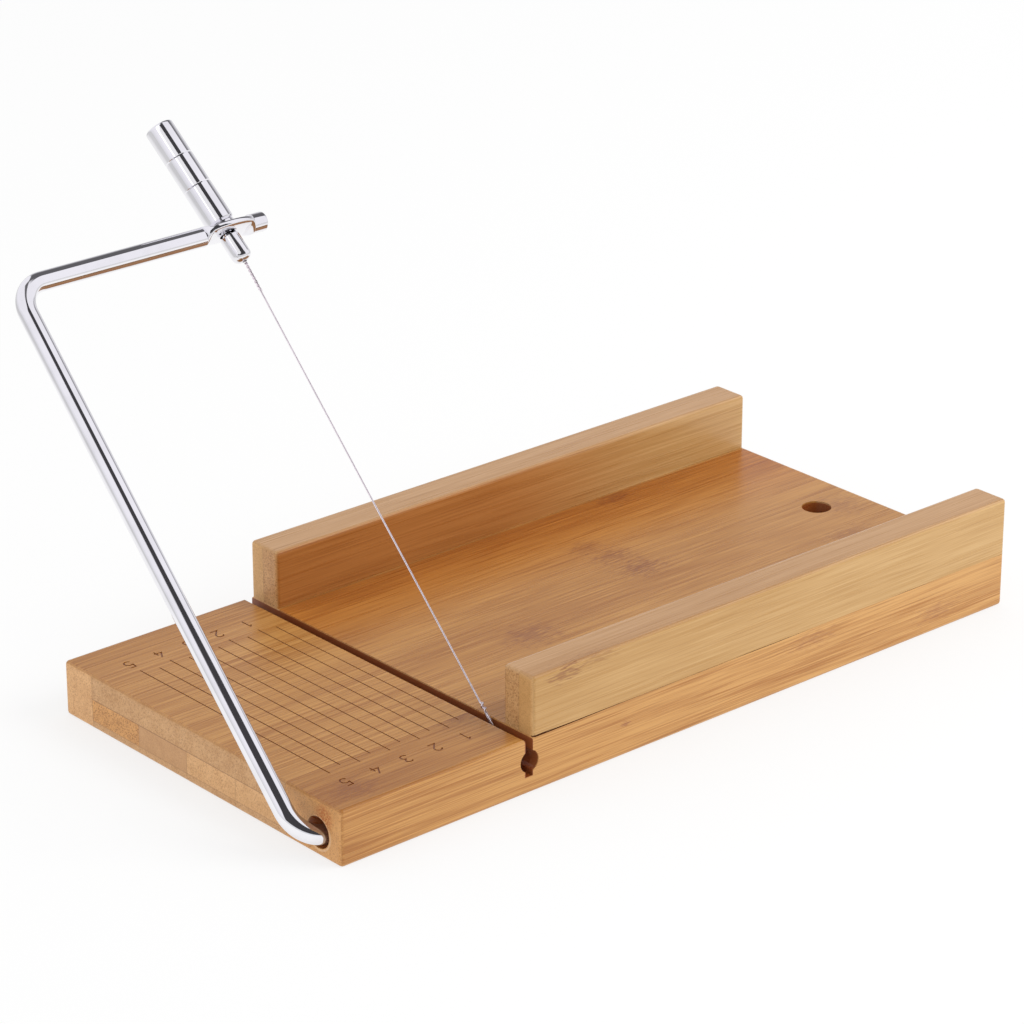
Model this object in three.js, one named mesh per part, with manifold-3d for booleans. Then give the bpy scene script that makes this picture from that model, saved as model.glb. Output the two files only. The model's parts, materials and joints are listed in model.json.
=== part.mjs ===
// Cheese wire cutter: a bamboo board with two guide rails, a sawn kerf and a burnt centimetre
// scale, and a bent steel arm that swings a taut cutting wire down into the kerf.
//
// Millimetres. Origin: centre of the board's underside. +X along the board, away from the
// graduated end; +Y from the arm's pivot side to the far side; +Z up.

import * as THREE from 'three';
import { mergeVertices } from 'three/addons/utils/BufferGeometryUtils.js';
import Module from 'manifold-3d';

const wasm = await Module();
wasm.setup();

// ---------------------------------------------------------------- driving dimensions

// Board
const LENGTH = 245.2;
const WIDTH = 119;
const THICKNESS = 16;
const CORNER_RADIUS = 1.2;
const EDGE_RADIUS = 1;
const BACK_PLY = 2.4;
const FACE_PLY = 7.2;
const FAR_STRIP_WIDTH = 12.5;
const CORE_STRIP_WIDTH = 21;
const CORE_STRIP_COUNT = 4;

// Kerf that the wire drops into, measured from the graduated end
const KERF_START = 61.9;
const KERF_WIDTH = 2.5;
const KERF_FLOOR = 5;
const KERF_LIP_RADIUS = 1;

// Guide rails, each two lamellae glued face to face
const RAIL_WIDTH = 11.7;
const RAIL_OUTER_LAMELLA = 5.5;
const RAIL_HEIGHT = 17;
const RAIL_SCREW_STATIONS = [22, 90, 158];

// Holes in the board
const HANGING_HOLE_RADIUS = 4.4;
const HANGING_HOLE_INSET = 16.4;
const ACCESS_HOLE_RADIUS = 3.15;
const ACCESS_HOLE_HEIGHT = 9.35;
const ACCESS_HOLE_DEPTH = 10;
const ACCESS_HOLE_SHIFT = 0.15;
const PIVOT_HOLE_RADIUS = 3;
const PIVOT_HOLE_DEPTH = 80;
const MOUTH_RADIUS = 4.4;
const MOUTH_DEPTH = 4.5;
const MOUTH_SHIFT = { across: 0.7, up: 0.6 };

// Burnt scale
const SCALE_ZERO = 61.65;
const SCALE_LAST = 5;
const CENTIMETRE = 10;
const SCALE_LINE_WIDTH = 0.35;
const SCALE_DEPTH = 0.2;
const LONG_LINE = { from: 18.7, to: 100.1 };
const SHORT_LINE = { from: 20.7, to: 98.1 };
const NUMERAL_HEIGHT = 4;
const NUMERAL_WIDTH = 2.4;
const NUMERAL_STROKE = 0.45;
const NUMERAL_ROWS = [14.2, 107];

// Arm: pivot axis is parallel to X at this distance from the near side and the underside
const PIVOT_FROM_SIDE = 8.3;
const PIVOT_HEIGHT = 5.9;
const ARM_REST_ANGLE = 45.5;
const ROD_RADIUS = 2.7;
const ROD_END_CHAMFER = 0.5;
const PIVOT_LEG_END = 78.3;
const BAR_OFFSET = -6.4;
const ARM_REACH = 164.65;
const LOWER_BEND_RADIUS = 9.5;
const UPPER_BEND_RADIUS = 8;
const STUB_END = 75.2;
const LEAF_CENTRE = 62.6;
const LEAF_HALF_LENGTH = 8.1;
const LEAF_HALF_WIDTH = 5.8;
const LEAF_HALF_THICKNESS = 1.2;
const LEAF_SHOULDER = 0.8;
const LEAF_SQUARENESS = 1.6;
const WIRE_GROOVE_RADIUS = 1.6;
const WIRE_GROOVE_WIDTH = 1.7;

// Tensioner: its axis leans back from the arm's direction
const EYE_X = 62.4;
const TENSIONER_TILT = 6.2;
const SPOT_FACE_RADIUS = 3.9;
const SPOT_FACE_HEIGHT = 0.9;
const STUD_CLEARANCE_RADIUS = 2.35;
const WASHER_RADIUS = 3.75;
const WASHER_BASE = 1.2;
const WASHER_THICKNESS = 0.85;
const HANDLE_RADIUS = 4;
const HANDLE_BASE = 2.35;
const HANDLE_TOP = 34.35;
const HANDLE_BORE_TOP = 24.5;
const HANDLE_GROOVES = [14.3, 23.75];
const HANDLE_GROOVE_DEPTH = 0.25;
const HANDLE_CHAMFER = 0.7;
const STUD_RADIUS = 2.8;
const STUD_SHOULDER = -1.8;
const STUD_TIP = -9.9;
const STUD_TIP_ROUND = 1.9;
const THREAD_RADIUS = 2;
const THREAD_TOP = 20;
const THREAD_CHAMFER = 0.5;
const WIRE_BORE_RADIUS = 0.75;
const WIRE_BORE_TOP = -3;

// Wire
const WIRE_RADIUS = 0.26;
const WIRE_ANCHOR = -5.7;
const WIRE_TOP_TWIST_LENGTH = 9;
const WIRE_TWIST_RADIUS = 0.42;
const WIRE_KNOT_RADIUS = 0.56;
const WIRE_KNOT_START = 14.2;
const WIRE_KNOT_END = 19;
const WIRE_LOOP_RADIUS = 1.93;
const NOOSE_WRAP_END = 335;
const NOOSE_RETURN = [[2.2, -0.25], [2.9, -0.1], [5, -0.05], [9, 0.5]];

// Wood screws that hold the rails from below
const SCREW_HEAD_RADIUS = 3.2;
const SCREW_HEAD_HEIGHT = 2.4;
const SCREW_RADIUS = 1.5;
const SCREW_LENGTH = 26;
const SCREW_RECESS = 0.6;
const SCREW_CLEARANCE = 0.3;
const SCREW_HEAD_RIM = 0.3;
const SCREW_TIP_LENGTH = 5;
const SCREW_TIP_CLEARANCE = 0.5;
const SCREW_SOCKET_RADIUS = 1.3;
const SCREW_SOCKET_DEPTH = 1.5;

// ---------------------------------------------------------------- derived places

const END_X = -LENGTH / 2;
const NEAR_Y = -WIDTH / 2;
const fromEnd = (distance) => END_X + distance;
const fromNear = (distance) => NEAR_Y + distance;
const KERF_END = KERF_START + KERF_WIDTH;
const KERF_MIDDLE = KERF_START + KERF_WIDTH / 2;
const NEAR_STRIP_WIDTH = WIDTH - FAR_STRIP_WIDTH - CORE_STRIP_WIDTH * CORE_STRIP_COUNT;
const RAIL_TOP = THICKNESS + RAIL_HEIGHT;
const ROUND_SIDES = 24;
const OVERSHOOT = 5;

// ---------------------------------------------------------------- solids and booleans

function toSolid(geometry) {
  const bare = geometry.clone();
  bare.deleteAttribute('normal');
  bare.deleteAttribute('uv');
  const merged = mergeVertices(bare, 1e-5);
  return new wasm.Manifold(new wasm.Mesh({
    numProp: 3,
    vertProperties: new Float32Array(merged.attributes.position.array),
    triVerts: new Uint32Array(merged.index.array),
  }));
}

function toGeometry(solid) {
  const mesh = solid.getMesh();
  const geometry = new THREE.BufferGeometry();
  geometry.setAttribute('position', new THREE.BufferAttribute(new Float32Array(mesh.vertProperties), 3));
  geometry.setIndex(new THREE.BufferAttribute(new Uint32Array(mesh.triVerts), 1));
  geometry.computeVertexNormals();
  return geometry;
}

const cut = (geometry, ...tools) => toGeometry(
  tools.reduce((solid, tool) => solid.subtract(toSolid(tool)), toSolid(geometry)),
);

const join = (first, ...others) => toGeometry(
  others.reduce((solid, other) => solid.add(toSolid(other)), toSolid(first)),
);

const common = (first, second) => toGeometry(toSolid(first).intersect(toSolid(second)));

function block(x0, x1, y0, y1, z0, z1) {
  const geometry = new THREE.BoxGeometry(x1 - x0, y1 - y0, z1 - z0);
  return geometry.translate((x0 + x1) / 2, (y0 + y1) / 2, (z0 + z1) / 2);
}

// A round bar or cone between two points
function round(from, to, fromRadius, toRadius = fromRadius, sides = ROUND_SIDES) {
  const start = new THREE.Vector3(...from);
  const span = new THREE.Vector3(...to).sub(start);
  const geometry = new THREE.CylinderGeometry(toRadius, fromRadius, span.length(), sides);
  const turn = new THREE.Quaternion().setFromUnitVectors(
    new THREE.Vector3(0, 1, 0),
    span.clone().normalize(),
  );
  return geometry.applyQuaternion(turn).translate(...start.addScaledVector(span, 0.5).toArray());
}

function roundedRectangle(x0, x1, y0, y1, radius) {
  const shape = new THREE.Shape();
  shape.moveTo(x0 + radius, y0);
  shape.lineTo(x1 - radius, y0);
  shape.absarc(x1 - radius, y0 + radius, radius, -Math.PI / 2, 0);
  shape.lineTo(x1, y1 - radius);
  shape.absarc(x1 - radius, y1 - radius, radius, 0, Math.PI / 2);
  shape.lineTo(x0 + radius, y1);
  shape.absarc(x0 + radius, y1 - radius, radius, Math.PI / 2, Math.PI);
  shape.lineTo(x0, y0 + radius);
  shape.absarc(x0 + radius, y0 + radius, radius, Math.PI, Math.PI * 1.5);
  return shape;
}

// A slab with rounded upright corners and rounded top and bottom edges
function easedSlab(x0, x1, y0, y1, z0, z1, edge) {
  const plan = roundedRectangle(x0 + edge, x1 - edge, y0 + edge, y1 - edge, CORNER_RADIUS - edge);
  const geometry = new THREE.ExtrudeGeometry(plan, {
    depth: z1 - z0 - 2 * edge,
    bevelThickness: edge,
    bevelSize: edge,
    bevelSegments: 3,
    curveSegments: 4,
  });
  return geometry.translate(0, 0, z0 + edge);
}

// ---------------------------------------------------------------- shapes of the cuts

function kerfTool() {
  const lip = KERF_LIP_RADIUS;
  const top = THICKNESS;
  const profile = new THREE.Shape();
  profile.moveTo(KERF_START, KERF_FLOOR);
  profile.lineTo(KERF_END, KERF_FLOOR);
  profile.lineTo(KERF_END, top + OVERSHOOT);
  profile.lineTo(KERF_START - lip, top + OVERSHOOT);
  profile.lineTo(KERF_START - lip, top);
  profile.absarc(KERF_START - lip, top - lip, lip, Math.PI / 2, 0, true);
  const geometry = new THREE.ExtrudeGeometry(profile, {
    depth: WIDTH + 2 * OVERSHOOT,
    bevelEnabled: false,
    curveSegments: 4,
  });
  return geometry.rotateX(Math.PI / 2).translate(END_X, WIDTH / 2 + OVERSHOOT, 0);
}

// The bore, and a mouth that widens towards the side the rod bends to
function pivotHoleTools() {
  const y = fromNear(PIVOT_FROM_SIDE);
  const z = PIVOT_HEIGHT;
  const outside = 1;
  const grow = 1 + outside / MOUTH_DEPTH;
  return [
    round([END_X - OVERSHOOT, y, z], [fromEnd(PIVOT_HOLE_DEPTH), y, z], PIVOT_HOLE_RADIUS),
    round(
      [END_X - outside, y + MOUTH_SHIFT.across * grow, z + MOUTH_SHIFT.up * grow],
      [fromEnd(MOUTH_DEPTH), y, z],
      ROD_RADIUS + (MOUTH_RADIUS - ROD_RADIUS) * grow,
      ROD_RADIUS,
    ),
  ];
}

const accessHoleTool = () => round(
  [fromEnd(KERF_MIDDLE + ACCESS_HOLE_SHIFT), NEAR_Y - OVERSHOOT, ACCESS_HOLE_HEIGHT],
  [fromEnd(KERF_MIDDLE + ACCESS_HOLE_SHIFT), fromNear(ACCESS_HOLE_DEPTH), ACCESS_HOLE_HEIGHT],
  ACCESS_HOLE_RADIUS,
);

const hangingHoleTool = () => round(
  [LENGTH / 2 - HANGING_HOLE_INSET, 0, -OVERSHOOT],
  [LENGTH / 2 - HANGING_HOLE_INSET, 0, THICKNESS + OVERSHOOT],
  HANGING_HOLE_RADIUS,
  HANGING_HOLE_RADIUS,
  40,
);

// ---------------------------------------------------------------- burnt scale

// One band at every half centimetre, counted from the kerf
function scaleLineTools() {
  const tools = [];
  for (let half = 1; half <= SCALE_LAST * 2; half += 1) {
    const span = half % 2 === 0 ? LONG_LINE : SHORT_LINE;
    const x = fromEnd(SCALE_ZERO - (CENTIMETRE / 2) * half);
    tools.push(block(
      x - SCALE_LINE_WIDTH / 2,
      x + SCALE_LINE_WIDTH / 2,
      fromNear(span.from),
      fromNear(span.to),
      THICKNESS - SCALE_DEPTH,
      THICKNESS + 1,
    ));
  }
  return tools;
}

function arcPoints(cx, cy, rx, ry, fromDegrees, toDegrees, steps) {
  const points = [];
  for (let i = 0; i <= steps; i += 1) {
    const angle = THREE.MathUtils.degToRad(fromDegrees + ((toDegrees - fromDegrees) * i) / steps);
    points.push([cx + rx * Math.cos(angle), cy + ry * Math.sin(angle)]);
  }
  return points;
}

// Pen strokes of the numerals in a box one wide and one high
const NUMERAL_STROKES = {
  1: [[[0.2, 0.78], [0.55, 1], [0.55, 0]]],
  2: [[...arcPoints(0.5, 0.72, 0.44, 0.28, 165, -35, 7), [0.04, 0], [1, 0]]],
  3: [
    arcPoints(0.46, 0.76, 0.42, 0.24, 150, -90, 6),
    arcPoints(0.46, 0.27, 0.48, 0.27, 90, -150, 7),
  ],
  4: [[[0.7, 1], [0, 0.3], [1, 0.3]], [[0.72, 0.6], [0.72, 0]]],
  5: [[[0.92, 1], [0.18, 1], [0.1, 0.5]], arcPoints(0.46, 0.32, 0.5, 0.32, 140, -145, 8)],
};

// A pen stroke as a band of even width
function strokeShape(points) {
  const line = points.map(([x, y]) => new THREE.Vector2(x * NUMERAL_WIDTH, y * NUMERAL_HEIGHT));
  const half = NUMERAL_STROKE / 2;
  const side = (sign) => line.map((point, i) => {
    const before = line[Math.max(i - 1, 0)];
    const after = line[Math.min(i + 1, line.length - 1)];
    const incoming = i === 0 ? after.clone().sub(point) : point.clone().sub(before);
    const outgoing = i === line.length - 1 ? incoming.clone() : after.clone().sub(point);
    const mitre = incoming.normalize().clone().add(outgoing.normalize()).normalize();
    const widen = Math.min(half / Math.max(mitre.dot(outgoing), 0.35), half * 2.2);
    return new THREE.Vector2(
      point.x - mitre.y * widen * sign,
      point.y + mitre.x * widen * sign,
    );
  });
  return new THREE.Shape([...side(-1), ...side(1).reverse()]);
}

// The numerals read from the far side: their tops point to -Y and they run towards -X
function numeralTools() {
  const tools = [];
  for (let value = 1; value <= SCALE_LAST; value += 1) {
    for (const footLine of NUMERAL_ROWS) {
      for (const stroke of NUMERAL_STROKES[value]) {
        const geometry = new THREE.ExtrudeGeometry(strokeShape(stroke), {
          depth: SCALE_DEPTH + 1,
          bevelEnabled: false,
        });
        geometry.translate(-NUMERAL_WIDTH / 2, 0, THICKNESS - SCALE_DEPTH);
        geometry.rotateZ(Math.PI);
        geometry.translate(fromEnd(SCALE_ZERO - CENTIMETRE * value), fromNear(footLine), 0);
        tools.push(geometry);
      }
    }
  }
  return tools;
}

// ---------------------------------------------------------------- board pieces

// The whole board's outside, with square shoulders where the rails stand on it
function boardEnvelope() {
  const slab = easedSlab(END_X, -END_X, NEAR_Y, -NEAR_Y, 0, THICKNESS, EDGE_RADIUS);
  const seats = [NEAR_Y, -NEAR_Y - RAIL_WIDTH].map((y) => {
    const plan = roundedRectangle(fromEnd(KERF_END), -END_X, y, y + RAIL_WIDTH, CORNER_RADIUS);
    const seat = new THREE.ExtrudeGeometry(plan, {
      depth: THICKNESS / 2,
      bevelEnabled: false,
      curveSegments: 4,
    });
    return seat.translate(0, 0, THICKNESS / 2);
  });
  return join(slab, ...seats);
}

const envelope = boardEnvelope();
const boardPiece = (x0, x1, y0, y1, z0, z1) => common(envelope, block(x0, x1, y0, y1, z0, z1));
const BEYOND_X = -END_X + OVERSHOOT;
const BEYOND_Y = -NEAR_Y + OVERSHOOT;
const CORE_TOP = THICKNESS - FACE_PLY;
const CORE_NEAR = fromNear(NEAR_STRIP_WIDTH);
const CORE_FAR = -NEAR_Y - FAR_STRIP_WIDTH;

const railY = (side) => side * (WIDTH - RAIL_WIDTH) / 2;
const screwX = (station) => fromEnd(KERF_END + station);

function screwHoleTools(side) {
  return RAIL_SCREW_STATIONS.flatMap((station) => {
    const at = (z) => [screwX(station), railY(side), z];
    const headSeat = SCREW_RECESS + SCREW_HEAD_HEIGHT;
    const shank = SCREW_RADIUS + SCREW_CLEARANCE;
    const head = SCREW_HEAD_RADIUS + SCREW_CLEARANCE;
    return [
      round(at(-OVERSHOOT), at(SCREW_RECESS + SCREW_LENGTH + SCREW_TIP_CLEARANCE), shank, shank, 16),
      round(at(SCREW_RECESS), at(headSeat + SCREW_CLEARANCE), head, shank, 16),
      round(at(-1), at(SCREW_RECESS), head, head, 16),
    ];
  });
}

function nearEdgeStrip() {
  const strip = boardPiece(-BEYOND_X, BEYOND_X, -BEYOND_Y, CORE_NEAR, -1, THICKNESS + 1);
  return cut(
    strip,
    kerfTool(),
    ...pivotHoleTools(),
    accessHoleTool(),
    ...screwHoleTools(-1),
    ...scaleLineTools(),
    ...numeralTools(),
  );
}

function farEdgeStrip() {
  const strip = boardPiece(-BEYOND_X, BEYOND_X, CORE_FAR, BEYOND_Y, -1, THICKNESS + 1);
  return cut(strip, kerfTool(), ...screwHoleTools(1), ...numeralTools());
}

function coreStrip(index) {
  const y = CORE_NEAR + index * CORE_STRIP_WIDTH;
  const strip = boardPiece(-BEYOND_X, BEYOND_X, y, y + CORE_STRIP_WIDTH, BACK_PLY, CORE_TOP);
  return cut(strip, kerfTool(), hangingHoleTool());
}

const backPly = () => cut(
  boardPiece(-BEYOND_X, BEYOND_X, CORE_NEAR, CORE_FAR, -1, BACK_PLY),
  hangingHoleTool(),
);

const scaleFacePly = () => cut(
  boardPiece(-BEYOND_X, fromEnd(KERF_MIDDLE), CORE_NEAR, CORE_FAR, CORE_TOP, THICKNESS + 1),
  kerfTool(),
  ...scaleLineTools(),
  ...numeralTools(),
);

const bedFacePly = () => cut(
  boardPiece(fromEnd(KERF_MIDDLE), BEYOND_X, CORE_NEAR, CORE_FAR, CORE_TOP, THICKNESS + 1),
  kerfTool(),
  hangingHoleTool(),
);

// side is -1 for the near rail and 1 for the far rail; the inner lamella faces the bed
function railLamella(side, inner) {
  const y = railY(side);
  const half = RAIL_WIDTH / 2;
  const rail = easedSlab(
    fromEnd(KERF_END),
    -END_X,
    y - half,
    y + half,
    THICKNESS - OVERSHOOT,
    RAIL_TOP,
    EDGE_RADIUS,
  );
  const glueLine = side * (WIDTH / 2 - RAIL_OUTER_LAMELLA);
  const towardsY = inner ? -side : side;
  const edges = [glueLine, glueLine + towardsY * RAIL_WIDTH].sort((a, b) => a - b);
  const lamella = common(rail, block(-BEYOND_X, BEYOND_X, ...edges, THICKNESS, RAIL_TOP + 1));
  return cut(lamella, ...screwHoleTools(side));
}

function woodScrew() {
  const profile = [
    [0, 0],
    [SCREW_HEAD_RADIUS, 0],
    [SCREW_HEAD_RADIUS, SCREW_HEAD_RIM],
    [SCREW_RADIUS, SCREW_HEAD_HEIGHT],
    [SCREW_RADIUS, SCREW_LENGTH - SCREW_TIP_LENGTH],
    [0, SCREW_LENGTH],
  ];
  const points = profile.map(([r, z]) => new THREE.Vector2(r, z));
  const screw = new THREE.LatheGeometry(points, 12).rotateX(Math.PI / 2);
  const socket = new THREE.CylinderGeometry(
    SCREW_SOCKET_RADIUS,
    SCREW_SOCKET_RADIUS,
    2 * SCREW_SOCKET_DEPTH,
    6,
  );
  return cut(screw, socket.rotateX(Math.PI / 2));
}

// ---------------------------------------------------------------- arm
// Drawn in the arm's own frame: X along the pivot from the board's end, Y along the arm's
// reach, Z square to both. The arm's group turns it about X to the rest angle.

const smooth = THREE.MathUtils.smoothstep;

// Half sizes of the rod's section at a place along the top arm, where it is pressed into a leaf
function leafSection(x) {
  const s = (x - LEAF_CENTRE) / LEAF_HALF_LENGTH;
  if (Math.abs(s) >= 1) {
    return { thick: ROD_RADIUS, wide: ROD_RADIUS, square: 2 };
  }
  const press = 1 - smooth(Math.abs(s), LEAF_SHOULDER, 1);
  return {
    thick: ROD_RADIUS + (LEAF_HALF_THICKNESS - ROD_RADIUS) * press,
    wide: ROD_RADIUS + (LEAF_HALF_WIDTH - ROD_RADIUS) * Math.sqrt(1 - s * s),
    square: 2 + LEAF_SQUARENESS * press,
  };
}

// Sections of the rod in order, from the pivot leg's inner end to the stub
function rodStations() {
  const stations = [];
  const add = (x, y, angle, section) => stations.push({ x, y, angle, ...section });
  const full = { thick: ROD_RADIUS, wide: ROD_RADIUS, square: 2 };
  const ring = (radius) => ({ thick: radius, wide: radius, square: 2 });
  const step = 0.02;
  const inwards = Math.PI;
  add(PIVOT_LEG_END, 0, inwards, ring(ROD_RADIUS - ROD_END_CHAMFER));
  add(PIVOT_LEG_END - ROD_END_CHAMFER, 0, inwards, full);
  const grooveStart = KERF_MIDDLE + WIRE_GROOVE_WIDTH / 2;
  const grooveEnd = KERF_MIDDLE - WIRE_GROOVE_WIDTH / 2;
  add(grooveStart + step, 0, inwards, full);
  add(grooveStart, 0, inwards, ring(WIRE_GROOVE_RADIUS));
  add(grooveEnd, 0, inwards, ring(WIRE_GROOVE_RADIUS));
  add(grooveEnd - step, 0, inwards, full);
  const bendSteps = 9;
  for (let i = 0; i <= bendSteps; i += 1) {
    const a = (i / bendSteps) * (Math.PI / 2);
    const x = BAR_OFFSET + LOWER_BEND_RADIUS * (1 - Math.sin(a));
    add(x, LOWER_BEND_RADIUS * (1 - Math.cos(a)), inwards - a, full);
  }
  for (let i = 0; i <= bendSteps; i += 1) {
    const a = (i / bendSteps) * (Math.PI / 2);
    const x = BAR_OFFSET + UPPER_BEND_RADIUS * (1 - Math.cos(a));
    add(x, ARM_REACH - UPPER_BEND_RADIUS * (1 - Math.sin(a)), Math.PI / 2 - a, full);
  }
  const leafSteps = 16;
  for (let i = 0; i <= leafSteps; i += 1) {
    const x = LEAF_CENTRE - LEAF_HALF_LENGTH * Math.cos((i / leafSteps) * Math.PI);
    add(x, ARM_REACH, 0, leafSection(x));
  }
  add(STUB_END - ROD_END_CHAMFER, ARM_REACH, 0, full);
  add(STUB_END, ARM_REACH, 0, ring(ROD_RADIUS - ROD_END_CHAMFER));
  return stations;
}

// Bends a straight many-ringed cylinder along the stations and gives each ring its section
function rodGeometry(stations) {
  const geometry = new THREE.CylinderGeometry(1, 1, 1, ROUND_SIDES, stations.length - 1);
  const position = geometry.attributes.position;
  const spread = (value, square) => Math.sign(value) * Math.abs(value) ** (2 / square);
  for (let i = 0; i < position.count; i += 1) {
    const index = Math.round((position.getY(i) + 0.5) * (stations.length - 1));
    const { x, y, angle, thick, wide, square } = stations[index];
    const inPlane = spread(position.getX(i), square) * thick;
    const normal = [Math.sin(angle), -Math.cos(angle)];
    const across = spread(position.getZ(i), square) * wide;
    position.setXYZ(i, x + normal[0] * inPlane, y + normal[1] * inPlane, across);
  }
  return geometry;
}

// Moves a shape drawn along +Y from the eye's centre onto the leaning tensioner axis
const TILT = THREE.MathUtils.degToRad(TENSIONER_TILT);
const leaning = (geometry) => geometry.clone().rotateZ(TILT).translate(EYE_X, ARM_REACH, 0);

function armRod() {
  const eye = round([0, -OVERSHOOT, 0], [0, OVERSHOOT, 0], STUD_CLEARANCE_RADIUS);
  const spotFace = round([0, SPOT_FACE_HEIGHT, 0], [0, OVERSHOOT, 0], SPOT_FACE_RADIUS);
  return cut(rodGeometry(rodStations()), leaning(eye), leaning(spotFace));
}

// ---------------------------------------------------------------- tensioner
// Lathe profiles of radius against height above the eye's centre, on the leaning axis

const lathe = (profile, sides = ROUND_SIDES) => new THREE.LatheGeometry(
  profile.map(([radius, height]) => new THREE.Vector2(radius, height)),
  sides,
);

function washer() {
  const top = WASHER_BASE + WASHER_THICKNESS;
  return lathe([
    [STUD_CLEARANCE_RADIUS, WASHER_BASE],
    [WASHER_RADIUS, WASHER_BASE],
    [WASHER_RADIUS, top],
    [STUD_CLEARANCE_RADIUS, top],
    [STUD_CLEARANCE_RADIUS, WASHER_BASE],
  ]);
}

function handle() {
  const groove = (height) => [
    [HANDLE_RADIUS, height - HANDLE_GROOVE_DEPTH],
    [HANDLE_RADIUS - HANDLE_GROOVE_DEPTH, height],
    [HANDLE_RADIUS, height + HANDLE_GROOVE_DEPTH],
  ];
  return lathe([
    [0, HANDLE_BORE_TOP],
    [STUD_CLEARANCE_RADIUS, HANDLE_BORE_TOP],
    [STUD_CLEARANCE_RADIUS, HANDLE_BASE],
    [HANDLE_RADIUS - HANDLE_CHAMFER, HANDLE_BASE],
    [HANDLE_RADIUS, HANDLE_BASE + HANDLE_CHAMFER],
    ...HANDLE_GROOVES.flatMap(groove),
    [HANDLE_RADIUS, HANDLE_TOP - HANDLE_CHAMFER],
    [HANDLE_RADIUS - HANDLE_CHAMFER, HANDLE_TOP],
    [0, HANDLE_TOP],
  ], 36);
}

function tensionStud() {
  const roundSteps = 4;
  const nose = [];
  for (let i = 0; i <= roundSteps; i += 1) {
    const a = (i / roundSteps) * (Math.PI / 2);
    nose.push([
      STUD_RADIUS - STUD_TIP_ROUND * (1 - Math.sin(a)),
      STUD_TIP + STUD_TIP_ROUND * (1 - Math.cos(a)),
    ]);
  }
  return lathe([
    [0, WIRE_BORE_TOP],
    [WIRE_BORE_RADIUS, WIRE_BORE_TOP],
    [WIRE_BORE_RADIUS, STUD_TIP],
    ...nose,
    [STUD_RADIUS, STUD_SHOULDER],
    [THREAD_RADIUS, STUD_SHOULDER],
    [THREAD_RADIUS, THREAD_TOP - THREAD_CHAMFER],
    [THREAD_RADIUS - THREAD_CHAMFER, THREAD_TOP],
    [0, THREAD_TOP],
  ]);
}

// ---------------------------------------------------------------- wire
// In the arm's frame: it leaves the stud on the leaning axis, turns at the stud's mouth and runs
// to a noose that lies in the rod's groove inside the kerf.

function sweep(points, radius, steps) {
  const section = new THREE.Shape();
  section.absarc(0, 0, radius, 0, Math.PI * 2);
  return new THREE.ExtrudeGeometry(section, {
    steps,
    curveSegments: 8,
    extrudePath: new THREE.CatmullRomCurve3(points, false, 'centripetal'),
  });
}

function wirePlaces() {
  const onAxis = (height) => new THREE.Vector3(
    EYE_X - Math.sin(TILT) * height,
    ARM_REACH + Math.cos(TILT) * height,
    0,
  );
  const anchor = onAxis(WIRE_ANCHOR);
  const mouth = onAxis(STUD_TIP);
  const foot = new THREE.Vector3(KERF_MIDDLE, 0, WIRE_LOOP_RADIUS);
  const along = mouth.clone().sub(foot).normalize();
  const at = (distance) => foot.clone().addScaledVector(along, distance);
  return { anchor, mouth, foot, along, at };
}

// The strand that comes back round the rod: down its near side, under it and along to the knot.
// The return points are distances along the arm's reach and square to it.
function nooseStrand({ foot, at }) {
  const inPlane = (reach, height) => new THREE.Vector3(foot.x, reach, height);
  const wrapEnd = THREE.MathUtils.degToRad(NOOSE_WRAP_END);
  const wrapStart = Math.PI / 2;
  const steps = 10;
  const wrap = [];
  for (let i = 0; i <= steps; i += 1) {
    const a = wrapStart + (i / steps) * (wrapEnd - wrapStart);
    wrap.push(inPlane(WIRE_LOOP_RADIUS * Math.cos(a), WIRE_LOOP_RADIUS * Math.sin(a)));
  }
  const knot = at(WIRE_KNOT_START + 0.5);
  return sweep([
    at(1.5),
    ...wrap,
    ...NOOSE_RETURN.map(([reach, height]) => inPlane(reach, height)),
    knot,
  ], WIRE_RADIUS, 44);
}

function cuttingWire() {
  const places = wirePlaces();
  const { anchor, mouth, at } = places;
  const span = mouth.distanceTo(places.foot);
  const strand = (from, to, radius) => round(from.toArray(), to.toArray(), radius, radius, 8);
  return join(
    strand(anchor, mouth, WIRE_RADIUS),
    strand(at(1), at(span + 0.1), WIRE_RADIUS),
    strand(at(span - WIRE_TOP_TWIST_LENGTH), at(span), WIRE_TWIST_RADIUS),
    strand(at(WIRE_KNOT_START), at(WIRE_KNOT_END), WIRE_KNOT_RADIUS),
    nooseStrand(places),
  );
}

// ---------------------------------------------------------------- scene graph

const BAMBOO_FACE = { color: 0xc08a52, roughness: 0.5, metalness: 0 };
const BAMBOO_CORE = { color: 0xb08050, roughness: 0.6, metalness: 0 };
const BAMBOO_RAIL = { color: 0xd0a468, roughness: 0.5, metalness: 0 };
const POLISHED_STEEL = { color: 0xd8d8da, roughness: 0.08, metalness: 1 };
const ZINC_STEEL = { color: 0xb8b4a8, roughness: 0.35, metalness: 1 };
const WIRE_STEEL = { color: 0xc8c8cc, roughness: 0.2, metalness: 1 };

function addPiece(parent, name, geometry, look) {
  const mesh = new THREE.Mesh(geometry, new THREE.MeshStandardMaterial(look));
  mesh.name = name;
  parent.add(mesh);
  return mesh;
}

const cutter = new THREE.Group();

const board = new THREE.Group();
cutter.add(board);
addPiece(board, 'near_edge_strip', nearEdgeStrip(), BAMBOO_FACE);
addPiece(board, 'far_edge_strip', farEdgeStrip(), BAMBOO_FACE);
addPiece(board, 'scale_face_ply', scaleFacePly(), BAMBOO_FACE);
addPiece(board, 'bed_face_ply', bedFacePly(), BAMBOO_FACE);
addPiece(board, 'back_ply', backPly(), BAMBOO_FACE);
for (let i = 0; i < CORE_STRIP_COUNT; i += 1) {
  addPiece(board, `core_strip_${i + 1}`, coreStrip(i), BAMBOO_CORE);
}

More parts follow.
